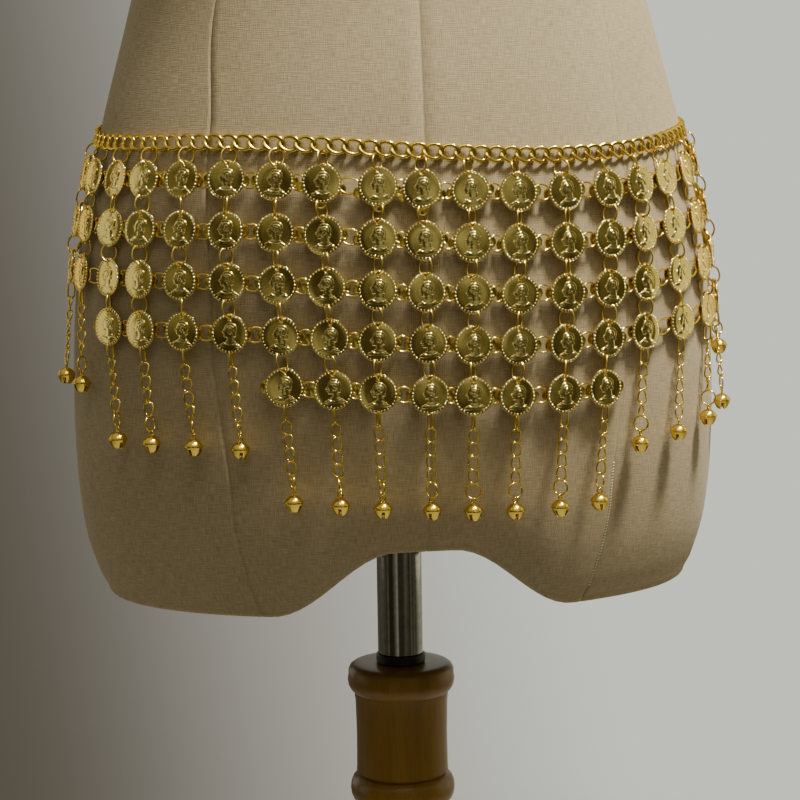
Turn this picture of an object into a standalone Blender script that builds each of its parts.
"""Coin waist chain worn low on the hips of a limbless dress form, with its stand.

A curb chain goes round the hips and closes at the back. Twenty strands hang from it on
jump rings: three, four or five coins one below the other, then a short fine chain and a bell.
Side rings join each coin to the next one in its row, so the coins make a hanging net.
The form is smooth cloth over a solid shell, on a steel pole, a turned wooden column and a base.

Metres, +Z up. The front faces -Y and the origin is on the floor under the pole.
"""
import math
import random
from collections import namedtuple

import bmesh
import bpy
from mathutils import Matrix, Vector

# Clearance that touching pieces keep, and how far the skin is read up and down for its slope
GAP = 0.0003
SLOPE_REACH = 0.004

# Dress form: half width, depth of the front and depth of the back, from the rim to the neck
Section = namedtuple("Section", "height half_width front back")
FORM_SECTIONS = (
    Section(0.712, 0.158, 0.100, 0.110),
    Section(0.745, 0.1685, 0.108, 0.118),
    Section(0.790, 0.1725, 0.114, 0.124),
    Section(0.850, 0.1715, 0.117, 0.126),
    Section(0.900, 0.1665, 0.116, 0.120),
    Section(0.955, 0.1545, 0.110, 0.108),
    Section(1.020, 0.137, 0.099, 0.092),
    Section(1.080, 0.122, 0.088, 0.080),
    Section(1.140, 0.127, 0.096, 0.083),
    Section(1.200, 0.139, 0.112, 0.090),
    Section(1.250, 0.148, 0.124, 0.096),
    Section(1.300, 0.152, 0.112, 0.102),
    Section(1.350, 0.158, 0.093, 0.104),
    Section(1.390, 0.160, 0.078, 0.098),
    Section(1.420, 0.140, 0.066, 0.085),
    Section(1.445, 0.095, 0.058, 0.070),
    Section(1.465, 0.062, 0.055, 0.060),
    Section(1.530, 0.053, 0.051, 0.055),
)
SQUARENESS = 2.1
FORM_POINTS = 24
FORM_RIM = FORM_SECTIONS[0].height
FORM_TOP = FORM_SECTIONS[-1].height
ARCH_TOP = 0.744
ARCH_FLAT = 0.0145
ARCH_FOOT = 0.077

# Neck cap and stand
Turn = namedtuple("Turn", "height radius")
CAP_BOTTOM = FORM_TOP + GAP
CAP_PROFILE = (
    Turn(CAP_BOTTOM + 0.026, 0.012),
    Turn(CAP_BOTTOM + 0.024, 0.030),
    Turn(CAP_BOTTOM + 0.017, 0.045),
    Turn(CAP_BOTTOM + 0.009, 0.050),
    Turn(CAP_BOTTOM, 0.050),
)
CAP_STEPS = 14
POLE_RADIUS = 0.0125
COLLAR_RADIUS = 0.0135
COLLAR_HEIGHT = 0.005
POLE_STEPS = 16
BASE_RADIUS = 0.200
BASE_HEIGHT = 0.030
BASE_ROUND = 0.008
BASE_ROUND_STEPS = 2
BASE_STEPS = 28
COLUMN_TOP = 0.664
COLUMN_PROFILE = (
    Turn(COLUMN_TOP, 0.0200),
    Turn(0.662, 0.0270),
    Turn(0.656, 0.0296),
    Turn(0.650, 0.0280),
    Turn(0.646, 0.0255),
    Turn(0.603, 0.0255),
    Turn(0.600, 0.0280),
    Turn(0.595, 0.0291),
    Turn(0.588, 0.0275),
    Turn(0.584, 0.0225),
    Turn(0.340, 0.0185),
    Turn(0.120, 0.0240),
    Turn(0.075, 0.0340),
    Turn(0.045, 0.0360),
    Turn(BASE_HEIGHT + GAP, 0.0360),
)
COLUMN_STEPS = 14

# Belt chain: a row of flat links, wide at their middles and narrow where they interlock
BELT_HEIGHT = 0.9555
BELT_TILT = 0.0145
BELT_SWING = 0.0038
LINK_HEIGHT = 0.0076
LINK_NECK = 0.0052
LINK_THICKNESS = 0.0022
NECK_THICKNESS = 0.0016
SKIN_GAP = 0.0004
BELT_SEGMENTS = 6
LINKS_A_SEGMENT = 18
CLASP_ROOM = 0.0245
HOOK_LENGTH = 0.0150
HOOK_WIDTH = 0.0080
HOOK_TAIL = 0.0012
HOOK_EYE = 0.0022
CLASP_LIFT = 0.0002
CLASP_RING_RADIUS = 0.0042
CLASP_WIRE = 0.0008
CLASP_RING_SIDES = 10
CLASP_WIRE_SIDES = 4

# Coin strands
COIN_RADIUS = 0.0096
COIN_THICKNESS = 0.0012
COIN_SIDES = 10
COIN_OFFSET = 0.0040
FIRST_DROP = 0.0180
ROW_PITCH = 0.0246
COLUMN_PITCH = 0.0233
PANEL_SHIFT = 0.0100
COIN_HOLE = 0.0070
COIN_EDGE = 0.0084
RING_RADIUS = 0.0034
RING_WIRE = 0.0005
RING_SHOULDER = 0.0022
RING_SPREAD = 0.00055
RING_TWIST = (45.0, 65.0)
TOP_RING_REACH = 0.0016
TOP_RING_OFFSET = 0.0035
SIDE_RING_HEIGHT = 0.0033
SIDE_RING_BITE = 0.0018
SIDE_RING_ROOT = -0.0002
BELL_DROP = 0.0560
BELL_RADIUS = 0.0050
BELL_OFFSET = 0.0056
BELL_PLUMB = 0.0090
BELL_SIDES = 6
BELL_RINGS = 5
DROP_LINKS = 5
DROP_LINK_WIDTH = 0.0046
DROP_LINK_DEPTH = 0.0014
DROP_NECK = 0.0010
DROP_BITE = 0.0010
COIN_YAW = 5.0
COIN_ROLL = 4.0
LEAN_SEED = 20

# One row for each strand, from the form's right hip round the front to its left hip.
# slip moves it along the belt and sway moves its lowest coin sideways, both in millimetres.
Strand = namedtuple("Strand", "coins slip sway")
STRANDS = (
    Strand(3, 7.5, 0.0),
    Strand(3, 5.5, 1.0),
    Strand(4, 5.0, 6.0),
    Strand(4, 2.5, 5.5),
    Strand(4, 1.5, 5.5),
    Strand(4, 1.0, 5.5),
    Strand(5, 1.0, 6.5),
    Strand(5, -0.5, 6.0),
    Strand(5, 2.0, -0.5),
    Strand(5, -1.0, 2.0),
    Strand(5, -1.5, -1.5),
    Strand(5, -1.5, -4.5),
    Strand(5, -0.5, -6.0),
    Strand(5, 0.5, -9.0),
    Strand(4, -2.0, -5.5),
    Strand(4, -4.0, 0.0),
    Strand(4, -2.5, 4.0),
    Strand(4, 3.0, 4.0),
    Strand(3, 3.0, 2.0),
    Strand(3, 3.0, 0.0),
)

# Colours: base colour, metallic and roughness
Finish = namedtuple("Finish", "color metallic roughness")
FINISHES = {
    "linen": Finish((0.42, 0.37, 0.29), 0.0, 0.85),
    "gold": Finish((0.80, 0.58, 0.22), 1.0, 0.28),
    "chrome": Finish((0.75, 0.76, 0.78), 1.0, 0.12),
    "wood": Finish((0.20, 0.09, 0.04), 0.0, 0.40),
    "black": Finish((0.02, 0.02, 0.02), 0.0, 0.50),
}


# Scene helpers

def clear_scene():
    for item in list(bpy.data.objects):
        bpy.data.objects.remove(item, do_unlink=True)


def new_collection(name):
    collection = bpy.data.collections.new(name)
    bpy.context.scene.collection.children.link(collection)
    return collection


def make_materials():
    """A material for each named finish."""
    made = {}
    for name, finish in FINISHES.items():
        material = bpy.data.materials.new(name)
        material.use_nodes = True
        shader = material.node_tree.nodes["Principled BSDF"]
        shader.inputs["Base Color"].default_value = (*finish.color, 1.0)
        shader.inputs["Metallic"].default_value = finish.metallic
        shader.inputs["Roughness"].default_value = finish.roughness
        made[name] = material
    return made


def add_object(name, data, collection, material=None):
    item = bpy.data.objects.new(name, data)
    collection.objects.link(item)
    if material:
        data.materials.append(material)
    return item


def mesh_from(bm, name):
    """Mesh with outward faces and smooth shading up to 40 degrees, from a bmesh."""
    bmesh.ops.recalc_face_normals(bm, faces=bm.faces[:])
    mesh = bpy.data.meshes.new(name)
    bm.to_mesh(mesh)
    bm.free()
    mesh.shade_smooth()
    mesh.set_sharp_from_angle(angle=math.radians(40.0))
    return mesh


# The form's skin

def signed_power(value, power):
    return math.copysign(abs(value) ** power, value)


def form_size(height, field):
    """One size of the form at a height, on a smooth curve through the sections."""
    last = len(FORM_SECTIONS) - 1
    index = 0
    while index < last - 1 and FORM_SECTIONS[index + 1].height < height:
        index += 1

    def slope(row):
        low = FORM_SECTIONS[max(row - 1, 0)]
        high = FORM_SECTIONS[min(row + 1, last)]
        return (getattr(high, field) - getattr(low, field)) / (high.height - low.height)

    low, high = FORM_SECTIONS[index], FORM_SECTIONS[index + 1]
    span = high.height - low.height
    t = min(max((height - low.height) / span, 0.0), 1.0)
    blend = t * t * (3.0 - 2.0 * t)
    level = getattr(low, field) * (1.0 - blend) + getattr(high, field) * blend
    bend = slope(index) * t * (1.0 - t) ** 2 - slope(index + 1) * t * t * (1.0 - t)
    return level + span * bend


def form_sizes(height):
    return tuple(form_size(height, field) for field in ("half_width", "front", "back"))


def plan_normal(turn, sizes):
    """Outward direction of a section, level, at a turn from the centre front towards +X."""
    half_width, front, back = sizes
    side, ahead = math.sin(turn), math.cos(turn)
    depth = front if ahead >= 0.0 else back
    power = 2.0 - 2.0 / SQUARENESS
    return Vector((signed_power(side, power) / half_width,
                   -signed_power(ahead, power) / depth, 0.0)).normalized()


def plan_point(turn, sizes, height, offset):
    """Point of a section at a turn, moved out by offset."""
    half_width, front, back = sizes
    side, ahead = math.sin(turn), math.cos(turn)
    depth = front if ahead >= 0.0 else back
    power = 2.0 / SQUARENESS
    point = Vector((half_width * signed_power(side, power),
                    -depth * signed_power(ahead, power), height))
    return point + plan_normal(turn, sizes) * offset


def widest_height(field):
    """Height below the belt where the form is widest or deepest."""
    rows = [row for row in FORM_SECTIONS if row.height < BELT_HEIGHT]
    return max(rows, key=lambda row: getattr(row, field)).height


DRAPE_FROM = {field: widest_height(field) for field in ("half_width", "front", "back")}


def draped_sizes(height):
    """Sizes that a strand hangs on: the skin's, and straight down from its widest place."""
    return tuple(form_size(max(height, DRAPE_FROM[field]), field) for field in DRAPE_FROM)


def hang_point(turn, height, offset):
    return plan_point(turn, draped_sizes(height), height, offset)


def hang_frame(turn, height, offset):
    """Frame of a hanging piece: X to its right, Y into the body and Z up along the strand."""
    above = hang_point(turn, height + SLOPE_REACH, offset)
    up = (above - hang_point(turn, height - SLOPE_REACH, offset)).normalized()
    right = up.cross(plan_normal(turn, draped_sizes(height))).normalized()
    inward = up.cross(right)
    frame = Matrix((right, inward, up)).transposed().to_4x4()
    frame.translation = hang_point(turn, height, offset)
    return frame


def height_below(turn, height, run):
    """Height reached by going down a strand for a length."""
    ahead = hang_point(turn, height, COIN_OFFSET) - hang_point(turn, height - run, COIN_OFFSET)
    return height - run * run / ahead.length


# The belt line

def belt_height(turn):
    """Height of the belt line: lowest at the front, with a slight swing from side to side."""
    swing = BELT_SWING * math.sin(3.0 * turn) * (1.0 + math.cos(turn)) / 2.0
    return BELT_HEIGHT - BELT_TILT * math.cos(turn) - swing


def belt_point(turn, rise, offset):
    height = belt_height(turn) + rise
    return plan_point(turn, form_sizes(height), height, offset)


def measure_belt(steps=720):
    """Turns round the belt and the length of its middle line up to each."""
    turns = [2.0 * math.pi * step / steps for step in range(steps + 1)]
    lengths = [0.0]
    for low, high in zip(turns, turns[1:]):
        middle = SKIN_GAP + LINK_THICKNESS / 2.0
        run = (belt_point(high, 0.0, middle) - belt_point(low, 0.0, middle)).length
        lengths.append(lengths[-1] + run)
    return turns, lengths


BELT_TURNS, BELT_LENGTHS = measure_belt()
BELT_LENGTH = BELT_LENGTHS[-1]


def turn_at(length):
    """Turn at a length along the belt from the centre front."""
    wanted = length % BELT_LENGTH
    low, high = 0, len(BELT_LENGTHS) - 1
    while high - low > 1:
        middle = (low + high) // 2
        if BELT_LENGTHS[middle] > wanted:
            high = middle
        else:
            low = middle
    part = (wanted - BELT_LENGTHS[low]) / (BELT_LENGTHS[high] - BELT_LENGTHS[low])
    return BELT_TURNS[low] + part * (BELT_TURNS[high] - BELT_TURNS[low])


# Lofts, wires and rings

def loft(bm, sections, close_low=True):
    """Body through sections of equally many points, closed at its ends."""
    rings = [[bm.verts.new(point) for point in section] for section in sections]
    count = len(rings[0])
    for low, high in zip(rings, rings[1:]):
        for i in range(count):
            j = (i + 1) % count
            bm.faces.new((low[i], low[j], high[j], high[i]))
    if close_low:
        bm.faces.new(reversed(rings[0]))
    bm.faces.new(rings[-1])
    return rings


def add_wire(curve, points, closed):
    spline = curve.splines.new("POLY")
    spline.points.add(len(points) - 1)
    for slot, point in zip(spline.points, points):
        slot.co = (*point, 1.0)
    spline.use_cyclic_u = closed


def ring_halves(lower, upper, twist):
    """Two halves of a ring, each from a coin's hole round to the foot of the coin above."""
    side = (lower @ Matrix.Rotation(twist, 4, "Z")).col[0].to_3d()
    low = lower @ Vector((0.0, 0.0, COIN_HOLE))
    high = upper @ Vector((0.0, 0.0, -COIN_HOLE))
    rise = (high - low).normalized() * RING_SHOULDER
    halves = []
    for sign in (-1.0, 1.0):
        root = lower.col[0].to_3d() * sign * RING_SPREAD
        wide = side * sign * RING_RADIUS
        halves.append([low + root, low + wide + rise, high + wide - rise, high + root])
    return halves


def top_ring(frame, top):
    """Ring from inside the top edge of a strand's first coin to the front of the belt."""
    foot = frame @ Vector((0.0, 0.0, COIN_EDGE))
    middle = (foot + top) / 2.0
    side = frame.col[0].to_3d() * RING_RADIUS
    left = [foot - side / 2.0, middle - side, top - side / 2.0]
    right = [foot + side / 2.0, middle + side, top + side / 2.0]
    return left + right[::-1]


def wire_profile(collection):
    """Three-sided outline that every thin wire is drawn with."""
    curve = bpy.data.curves.new("wire_profile", "CURVE")
    curve.dimensions = "2D"
    corners = [2.0 * math.pi * (step + 0.5) / 3.0 for step in range(3)]
    points = [(RING_WIRE * math.cos(a), RING_WIRE * math.sin(a), 0.0) for a in corners]
    add_wire(curve, points, closed=True)
    profile = add_object("wire_profile", curve, collection)
    profile.hide_render = True
    profile.display_type = "WIRE"
    return profile


def wires_to_bmesh(curve, profile, collection):
    """The wires of a curve as closed three-sided tubes in one bmesh."""
    curve.dimensions = "3D"
    curve.bevel_mode = "OBJECT"
    curve.bevel_object = profile
    curve.use_fill_caps = True
    drawn = add_object("wires", curve, collection)
    evaluated = drawn.evaluated_get(bpy.context.evaluated_depsgraph_get())
    mesh = bpy.data.meshes.new_from_object(evaluated)
    bm = bmesh.new()
    bm.from_mesh(mesh)
    bmesh.ops.remove_doubles(bm, verts=bm.verts[:], dist=1e-6)
    bpy.data.objects.remove(drawn, do_unlink=True)
    bpy.data.meshes.remove(mesh)
    return bm


# The dress form and its stand

def rim_height(x):
    """Lower edge of the form: two thigh lobes with an arch between them."""
    part = (abs(x) - ARCH_FLAT) / (ARCH_FOOT - ARCH_FLAT)
    part = min(max(part, 0.0), 1.0)
    return ARCH_TOP - (ARCH_TOP - FORM_RIM) * (1.0 - math.cos(math.pi * part)) / 2.0


def rim_turns():
    """Turns of a section's points: the front from side to side, with the pole seat's edges."""
    seat = math.asin((ARCH_FLAT / FORM_SECTIONS[0].half_width) ** (SQUARENESS / 2.0))
    half = FORM_POINTS // 4
    front = [math.pi * step / (2.0 * half) for step in range(-half, half + 1)] + [-seat, seat]
    front.sort()
    return front, [math.pi - turn for turn in reversed(front[1:-1])]


def build_torso(collection, material):
    bm = bmesh.new()
    front, back = rim_turns()
    fade_top = FORM_SECTIONS[2].height
    sections = []
    for height in [row.height for row in FORM_SECTIONS]:
        section = []
        for turn in front + back:
            point = plan_point(turn, form_sizes(height), height, 0.0)
            fade = max(0.0, (fade_top - height) / (fade_top - FORM_RIM))
            point.z += (rim_height(point.x) - FORM_RIM) * fade
            section.append(point)
        sections.append(section)
    rings = loft(bm, sections, close_low=False)
    close_rim(bm, rings[0], len(front))
    return add_object("form_torso", mesh_from(bm, "form_torso"), collection, material)


def close_rim(bm, ring, front_count):
    """Underside of the form, straight from each front point to the back point behind it."""
    for i in range(front_count - 1):
        back = [ring[0 if j == 0 else 2 * front_count - 2 - j] for j in (i, i + 1)]
        corners = [ring[i], ring[i + 1], back[1], back[0]]
        if i == front_count - 2:
            corners[2] = ring[i + 1]
        bm.faces.new(list(dict.fromkeys(corners)))


def turned(name, profile, steps, collection, material):
    """Turned piece: a profile of heights and radii, closed on the axis, spun by a Screw."""
    points = [(0.0, 0.0, profile[0].height)]
    points += [(row.radius, 0.0, row.height) for row in profile]
    points.append((0.0, 0.0, profile[-1].height))
    mesh = bpy.data.meshes.new(name)
    mesh.from_pydata(points, [(i, i + 1) for i in range(len(points) - 1)], [])
    item = add_object(name, mesh, collection, material)
    screw = item.modifiers.new("turn", "SCREW")
    screw.steps = steps
    screw.render_steps = steps
    screw.use_merge_vertices = True
    screw.merge_threshold = 0.0001
    return item


def build_stand(collection, materials):
    turned("stand_column", COLUMN_PROFILE, COLUMN_STEPS, collection, materials["wood"])

    base = []
    for step in range(BASE_ROUND_STEPS + 1):
        angle = math.pi / 2.0 * step / BASE_ROUND_STEPS
        base.append(Turn(BASE_HEIGHT - BASE_ROUND * (1.0 - math.cos(angle)),
                         BASE_RADIUS - BASE_ROUND * (1.0 - math.sin(angle))))
    base.append(Turn(0.0, BASE_RADIUS))
    turned("stand_base", base, BASE_STEPS, collection, materials["wood"])

    collar_low = COLUMN_TOP + GAP
    collar = [Turn(collar_low + COLLAR_HEIGHT, COLLAR_RADIUS), Turn(collar_low, COLLAR_RADIUS)]
    turned("pole_collar", collar, POLE_STEPS, collection, materials["black"])

    pole_low = collar_low + COLLAR_HEIGHT + GAP
    pole = [Turn(ARCH_TOP - GAP, POLE_RADIUS), Turn(pole_low, POLE_RADIUS)]
    turned("form_pole", pole, POLE_STEPS, collection, materials["chrome"])
    turned("form_neck_cap", CAP_PROFILE, CAP_STEPS, collection, materials["wood"])


# The belt

def build_belt(collection, material):
    """Belt chain in equal stretches, from one side of the clasp round to the other."""
    start = BELT_LENGTH / 2.0 + CLASP_ROOM / 2.0
    stretch = (BELT_LENGTH - CLASP_ROOM) / BELT_SEGMENTS
    pitch = (stretch - GAP) / LINKS_A_SEGMENT
    for segment in range(BELT_SEGMENTS):
        bm = bmesh.new()
        sections = []
        for step in range(2 * LINKS_A_SEGMENT + 1):
            middle = step % 2 == 1
            high = (LINK_HEIGHT if middle else LINK_NECK) / 2.0
            deep = LINK_THICKNESS if middle else NECK_THICKNESS
            turn = turn_at(start + segment * stretch + step * pitch / 2.0)
            corners = ((-high, SKIN_GAP), (0.0, SKIN_GAP + deep), (high, SKIN_GAP))
            sections.append([belt_point(turn, rise, offset) for rise, offset in corners])
        loft(bm, sections)
        name = f"belt_chain_{segment + 1:02d}"
        add_object(name, mesh_from(bm, name), collection, material)


def belt_frame(length, offset):
    """Frame on the belt line: X along the belt, Y into the body and Z up the skin."""
    turn = turn_at(length)
    above = belt_point(turn, SLOPE_REACH, offset)
    up = (above - belt_point(turn, -SLOPE_REACH, offset)).normalized()
    height = belt_height(turn)
    right = up.cross(plan_normal(turn, form_sizes(height))).normalized()
    frame = Matrix((right, up.cross(right), up)).transposed().to_4x4()
    frame.translation = belt_point(turn, 0.0, offset)
    return frame


def build_hook(collection, material, frame):
    """Drop-shaped clasp hook with an eye in its round end, flat against the skin."""
    half = HOOK_WIDTH / 2.0
    centre = HOOK_LENGTH / 2.0 - half
    outline = [(-HOOK_LENGTH / 2.0, HOOK_TAIL), (-HOOK_LENGTH / 2.0, -HOOK_TAIL)]
    for step in range(-3, 4):
        angle = math.radians(30.0 * step)
        outline.append((centre + half * math.cos(angle), half * math.sin(angle)))
    eye = []
    for step in range(8):
        angle = 2.0 * math.pi * (step + 0.5) / 8.0
        eye.append((centre + HOOK_EYE * math.cos(angle), HOOK_EYE * math.sin(angle)))
    curve = bpy.data.curves.new("clasp_hook", "CURVE")
    curve.dimensions = "2D"
    curve.fill_mode = "BOTH"
    curve.extrude = LINK_THICKNESS / 2.0
    for points in (outline, eye):
        add_wire(curve, [(x, y, 0.0) for x, y in points], closed=True)
    hook = add_object("clasp_hook", curve, collection, material)
    hook.matrix_world = frame @ Matrix.Rotation(math.pi / 2.0, 4, "X")


def build_clasp(collection, material):
    """Clasp at the centre back: the hook and the ring it takes, end to end on the skin."""
    room_low = BELT_LENGTH / 2.0 - CLASP_ROOM / 2.0
    middle = room_low + GAP + HOOK_LENGTH / 2.0
    offset = SKIN_GAP + CLASP_LIFT + LINK_THICKNESS / 2.0
    build_hook(collection, material, belt_frame(middle, offset))

    middle = room_low + HOOK_LENGTH + 2.0 * GAP + CLASP_RING_RADIUS
    frame = belt_frame(middle, SKIN_GAP + CLASP_LIFT + CLASP_WIRE)
    bpy.ops.mesh.primitive_torus_add(
        major_radius=CLASP_RING_RADIUS - CLASP_WIRE, minor_radius=CLASP_WIRE,
        major_segments=CLASP_RING_SIDES, minor_segments=CLASP_WIRE_SIDES)
    ring = bpy.context.object
    ring.name = "clasp_ring"
    ring.matrix_world = frame @ Matrix.Rotation(math.pi / 2.0, 4, "X")
    ring.data.shade_smooth()
    ring.data.materials.append(material)
    for home in list(ring.users_collection):
        home.objects.unlink(ring)
    collection.objects.link(ring)


# The coin strands

def strand_start(index):
    """Length along the belt, from the centre front, at which a strand hangs."""
    middle = (len(STRANDS) - 1) / 2.0
    return PANEL_SHIFT + (index - middle) * COLUMN_PITCH + STRANDS[index].slip / 1000.0


def strand_frames(index, chance):
    """Frames of a strand's coins from the top down, and the frame of its bell."""
    strand = STRANDS[index]
    start = strand_start(index)
    frames = []
    height = height_below(turn_at(start), belt_height(turn_at(start)), FIRST_DROP)
    for row in range(strand.coins):
        turn = turn_at(start + strand.sway / 1000.0 * row / (strand.coins - 1))
        frame = hang_frame(turn, height, COIN_OFFSET)
        yaw = math.radians(chance.uniform(-COIN_YAW, COIN_YAW))
        roll = math.radians(chance.uniform(-COIN_ROLL, COIN_ROLL))
        frames.append(frame @ Matrix.Rotation(yaw, 4, "Z") @ Matrix.Rotation(roll, 4, "Y"))
        if row < strand.coins - 1:
            height = height_below(turn, height, ROW_PITCH)
    bell_turn = turn_at(start + strand.sway / 1000.0 - BELL_PLUMB * math.sin(turn))
    bell_height = height_below(bell_turn, height, BELL_DROP)
    return frames, hang_frame(bell_turn, bell_height, BELL_OFFSET)


def add_coin(bm, frame):
    """Flat round coin, its axis across the strand and a flat of its outline at the top."""
    flat = Matrix.Rotation(math.pi / 2.0, 4, "X") @ Matrix.Rotation(math.pi / COIN_SIDES, 4, "Z")
    bmesh.ops.create_cone(
        bm, cap_ends=True, segments=COIN_SIDES, radius1=COIN_RADIUS, radius2=COIN_RADIUS,
        depth=COIN_THICKNESS, matrix=frame @ flat)


def add_bell(bm, frame):
    """Round bell, its mesh poles left and right so that the chain meets one flat face."""
    lying = Matrix.Rotation(math.pi / 2.0, 4, "Y") @ Matrix.Rotation(math.pi / BELL_SIDES, 4, "Z")
    bmesh.ops.create_uvsphere(
        bm, u_segments=BELL_SIDES, v_segments=BELL_RINGS, radius=BELL_RADIUS, matrix=frame @ lying)


def add_drop(bm, top, bottom, right, inward):
    """Fine chain from the lowest coin to the bell, as flat links with narrow necks."""
    sections = []
    for step in range(2 * DROP_LINKS + 1):
        half = (DROP_LINK_WIDTH if step % 2 == 1 else DROP_NECK) / 2.0
        deep = (DROP_LINK_DEPTH if step % 2 == 1 else DROP_NECK) / 2.0
        centre = top.lerp(bottom, step / (2.0 * DROP_LINKS))
        sections.append([centre - right * half + inward * deep,
                         centre + right * half + inward * deep,
                         centre - inward * deep])
    loft(bm, sections)


def side_ring(frame, neighbour):
    """Half ring from a coin's right edge to just behind the next coin's left edge."""
    behind = COIN_THICKNESS / 2.0 + GAP + RING_WIRE
    edge = COIN_RADIUS - SIDE_RING_BITE
    points = []
    for rise in (SIDE_RING_HEIGHT, -SIDE_RING_HEIGHT):
        points.append(frame @ Vector((edge, SIDE_RING_ROOT, rise)))
        points.append(neighbour @ Vector((-edge, behind, rise)))
    return [points[0], points[1], points[3], points[2]]


def build_strand(index, frames, bell, next_frames, chance, kit):
    """One strand: coins and bell in one mesh, its wires in another, joined by a union."""
    collection, cutters, profile, material = kit
    name = f"coin_strand_{index + 1:02d}"
    solid = bmesh.new()
    for frame in frames:
        add_coin(solid, frame)
    add_bell(solid, bell)

    curve = bpy.data.curves.new(name + "_wires", "CURVE")
    top = belt_point(turn_at(strand_start(index)), -TOP_RING_REACH, TOP_RING_OFFSET)
    add_wire(curve, top_ring(frames[0], top), closed=False)
    for upper, lower in zip(frames, frames[1:]):
        twist = math.radians(chance.uniform(*RING_TWIST)) * chance.choice((-1.0, 1.0))
        for half in ring_halves(lower, upper, twist):
            add_wire(curve, half, closed=False)
    for frame, neighbour in zip(frames, next_frames):
        add_wire(curve, side_ring(frame, neighbour), closed=False)

    wires = wires_to_bmesh(curve, profile, cutters)
    last = frames[-1]
    add_drop(wires, last @ Vector((0.0, 0.0, -COIN_EDGE)),
             bell @ Vector((0.0, 0.0, BELL_RADIUS - DROP_BITE)),
             bell.col[0].to_3d(), bell.col[1].to_3d())
    cutter = add_object(name + "_wires", mesh_from(wires, name + "_wires"), cutters)
    cutter.hide_render = True
    cutter.display_type = "WIRE"

    item = add_object(name, mesh_from(solid, name), collection, material)
    union = item.modifiers.new("wires", "BOOLEAN")
    union.operation = "UNION"
    union.solver = "EXACT"
    union.object = cutter


def build_strands(collection, cutters, material):
    chance = random.Random(LEAN_SEED)
    hung = [strand_frames(index, chance) for index in range(len(STRANDS))]
    profile = wire_profile(cutters)
    kit = (collection, cutters, profile, material)
    for index, (frames, bell) in enumerate(hung):
        next_frames = hung[index + 1][0] if index + 1 < len(hung) else []
        build_strand(index, frames, bell, next_frames, chance, kit)


def main():
    clear_scene()
    collection = new_collection("coin_waist_chain")
    cutters = new_collection("strand_wires")
    materials = make_materials()
    build_torso(collection, materials["linen"])
    build_stand(collection, materials)
    build_belt(collection, materials["gold"])
    build_clasp(collection, materials["gold"])
    build_strands(collection, cutters, materials["gold"])


main()
